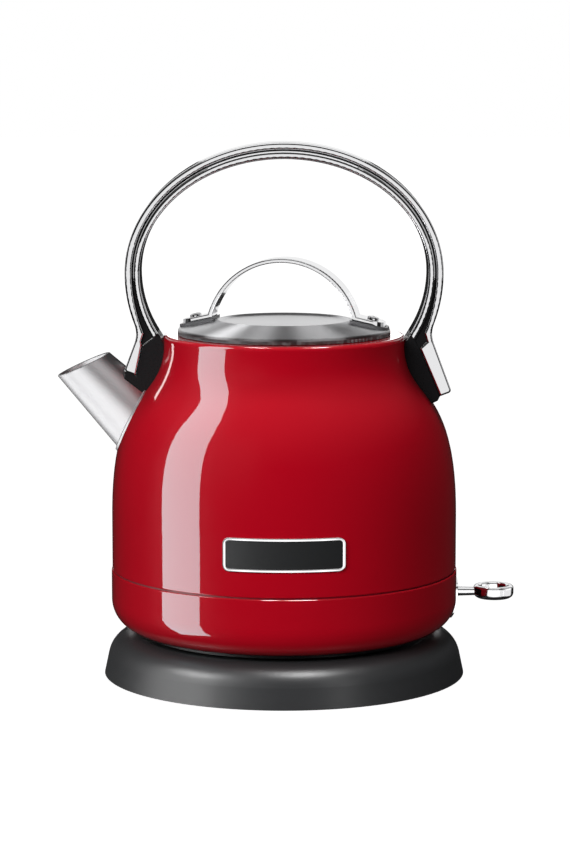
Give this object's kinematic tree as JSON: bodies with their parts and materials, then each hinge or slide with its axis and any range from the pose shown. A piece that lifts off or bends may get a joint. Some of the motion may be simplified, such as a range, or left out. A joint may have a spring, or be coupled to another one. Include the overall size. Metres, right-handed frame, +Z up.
{
  "type": "electric kettle",
  "caption": "Cordless electric kettle with a shouldered red body, steel spout and lid, chrome hoop handle and ring lever, on a round grey power base.",
  "frame": {"origin": "on the table under the middle of the power base", "axes": "+Z up, spout towards -X, switch lever towards +X, badge towards -Y"},
  "size_m": [0.2157, 0.1707, 0.2518],
  "materials": {
    "red_enamel": "glossy enamel",
    "base_plastic": "satin",
    "black_plastic": "matte",
    "badge_black": "satin",
    "chrome": "mirror",
    "brushed_steel": "brushed",
    "vessel_steel": "satin",
    "aluminium": "satin",
    "brass": "satin",
    "rubber": "matte",
    "silicone": "matte",
    "lens": "clear",
    "filter_plastic": "matte"
  },
  "bodies": {
    "power_base": {"base_cover": "base_plastic", "base_plate": "base_plastic", "cord_grommet": "rubber", "base_feet": "rubber", "base_screws": "vessel_steel", "base_tower": "black_plastic", "base_contacts": "brass"},
    "contacts": {"ring_contacts": "brass"},
    "kettle": {"lower_housing": "red_enamel", "seam_gasket": "rubber", "body_shell": "red_enamel", "mouth_ring": "vessel_steel", "vessel_floor": "vessel_steel", "bottom_cover": "black_plastic", "floor_studs": "vessel_steel", "bottom_screws": "vessel_steel", "heat_spreader": "aluminium", "heating_element": "vessel_steel", "element_terminals": "vessel_steel", "control_unit": "black_plastic", "bimetal_discs": "brass", "steam_tube": "vessel_steel", "lever_cradle": "black_plastic", "lever_pin": "vessel_steel", "trip_pin": "vessel_steel", "lever_escutcheon": "chrome", "indicator_lens": "lens", "spout": "brushed_steel", "spout_bead": "brushed_steel", "filter_guide": "vessel_steel", "handle_outer_band": "chrome", "handle_inner_band": "chrome", "handle_core": "black_plastic", "handle_screws": "chrome", "handle_bracket_rear": "black_plastic", "handle_bracket_front": "black_plastic", "bracket_studs": "vessel_steel", "badge_frame": "chrome", "badge_plate": "badge_black"},
    "switch": {"switch_lever": "chrome"},
    "trip": {"trip_lever": "black_plastic"},
    "filter": {"filter_frame": "filter_plastic", "filter_mesh": "vessel_steel"},
    "lid": {"lid_cover": "brushed_steel", "lid_plug": "black_plastic", "lid_seal": "silicone", "lid_handle": "chrome", "lid_handle_pads": "black_plastic", "lid_screws": "chrome", "lid_nuts": "vessel_steel"}
  },
  "joints": [
    {"name": "kettle_lift", "type": "slide", "parent": "power_base", "child": "contacts", "axis": [0, 0, 1], "range_m": [0, 0.08]},
    {"name": "kettle_turn", "type": "hinge", "parent": "contacts", "child": "kettle", "pos_m": [0, 0, 0.0319], "axis": [0, 0, 1], "continuous": true},
    {"name": "lid_lift", "type": "slide", "parent": "kettle", "child": "lid", "axis": [0, 0, 1], "range_m": [0, 0.04]},
    {"name": "switch_press", "type": "hinge", "parent": "kettle", "child": "switch", "pos_m": [0.0705, 0, 0.0387], "axis": [0, 1, 0], "range_deg": [0, 10]},
    {"name": "trip_rock", "type": "hinge", "parent": "kettle", "child": "trip", "pos_m": [0.0345, 0, 0.0387], "axis": [0, 1, 0], "range_deg": [-5, 0]},
    {"name": "filter_lift", "type": "slide", "parent": "kettle", "child": "filter", "axis": [0.7071, 0, 0.7071], "range_m": [0, 0.018]}
  ],
  "couplings": [
    {"joint": "trip_rock", "follows": "switch_press", "ratio": -0.5}
  ]
}
